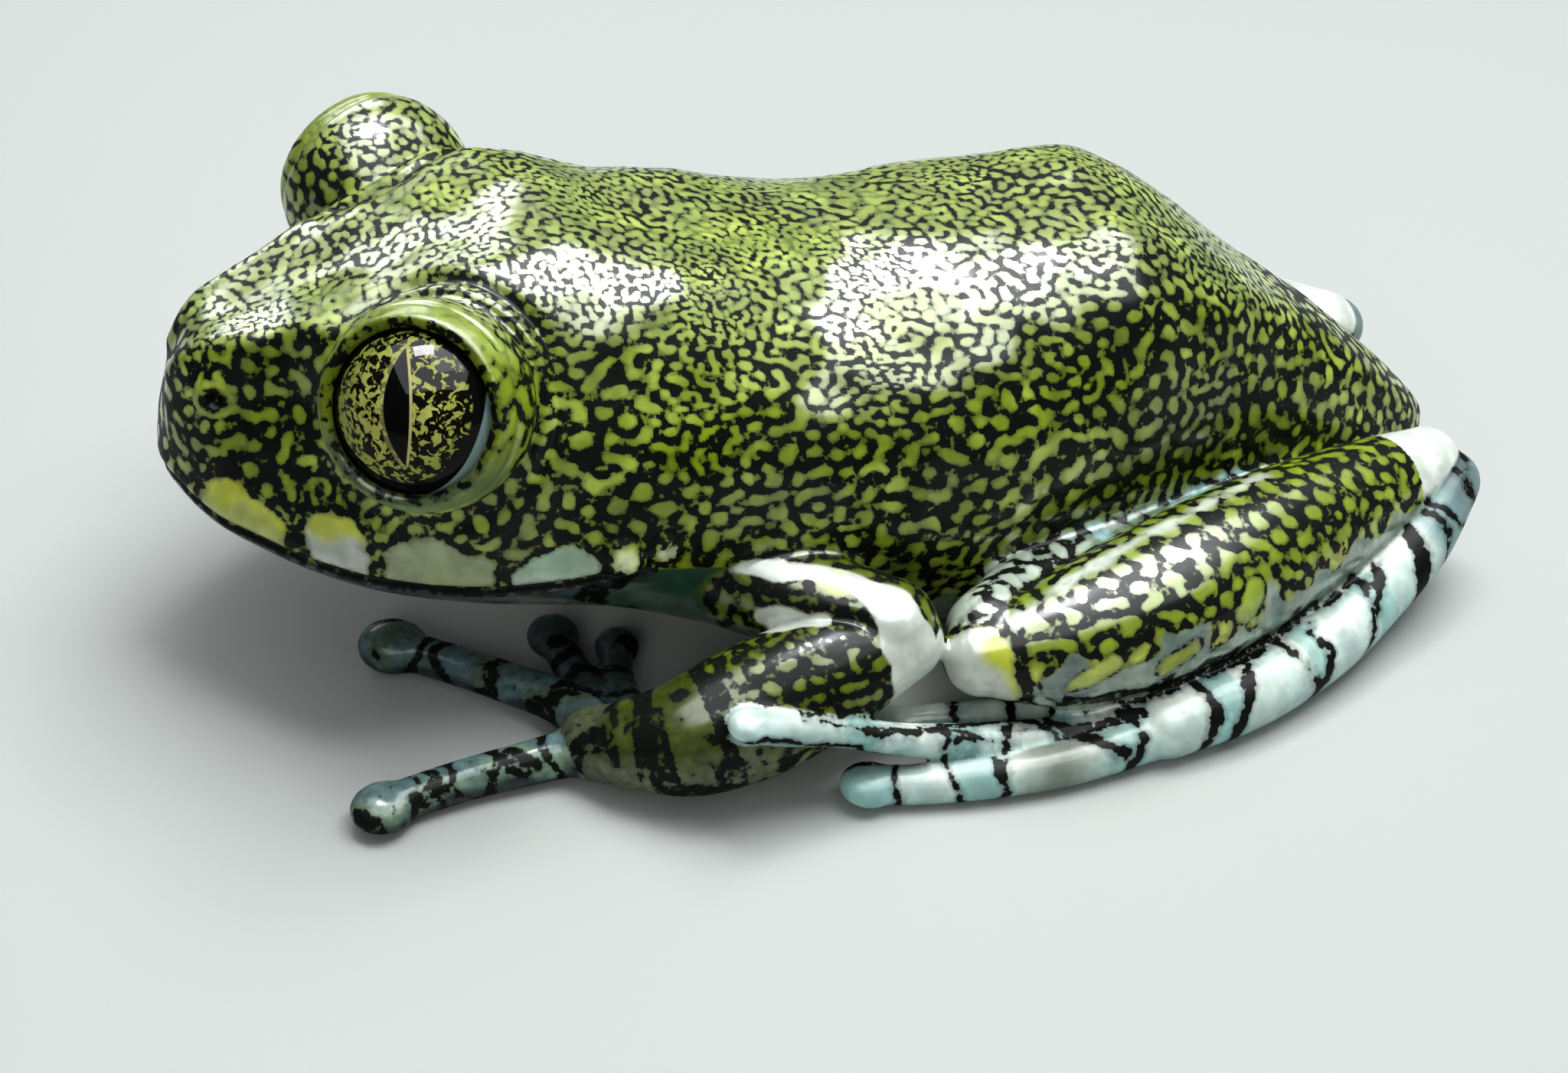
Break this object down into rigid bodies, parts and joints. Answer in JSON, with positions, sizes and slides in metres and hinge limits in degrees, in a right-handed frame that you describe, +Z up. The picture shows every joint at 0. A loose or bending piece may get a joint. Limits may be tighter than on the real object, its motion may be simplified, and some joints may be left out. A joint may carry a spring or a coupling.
{
  "type": "vermiculated tree frog model",
  "caption": "Life-size still model of a vermiculated tree frog at rest, lime green with a black net of markings, big slit-pupil eyes and banded toes with round pads",
  "frame": {"origin": "on the floor, under the middle of the frog's box", "axes": "the frog faces -Y, its left side is at +X, and +Z is up"},
  "size_m": [0.0316, 0.0499, 0.017],
  "materials": {
    "skin": "wet, glossy lime-green skin with a black net of fine markings",
    "throat_skin": "moist, pale grey-green skin with dark flecks",
    "toe_skin": "moist, pale blue-grey skin with black cross-bands",
    "eye": "clear, polished dome over a gold iris with black veins and a black upright slit"
  },
  "bodies": {
    "root": {"head": "skin", "lower_jaw": "throat_skin", "torso": "skin", "eye_left": "eye", "eye_right": "eye", "upper_arm_left": "skin", "upper_arm_right": "skin", "forearm_left": "skin", "forearm_right": "skin", "hand_left": "toe_skin", "hand_right": "toe_skin", "thigh_left": "skin", "thigh_right": "skin", "shin_left": "skin", "shin_right": "skin", "tarsus_left": "toe_skin", "tarsus_right": "toe_skin", "foot_left": "toe_skin", "foot_right": "toe_skin"}
  },
  "joints": []
}
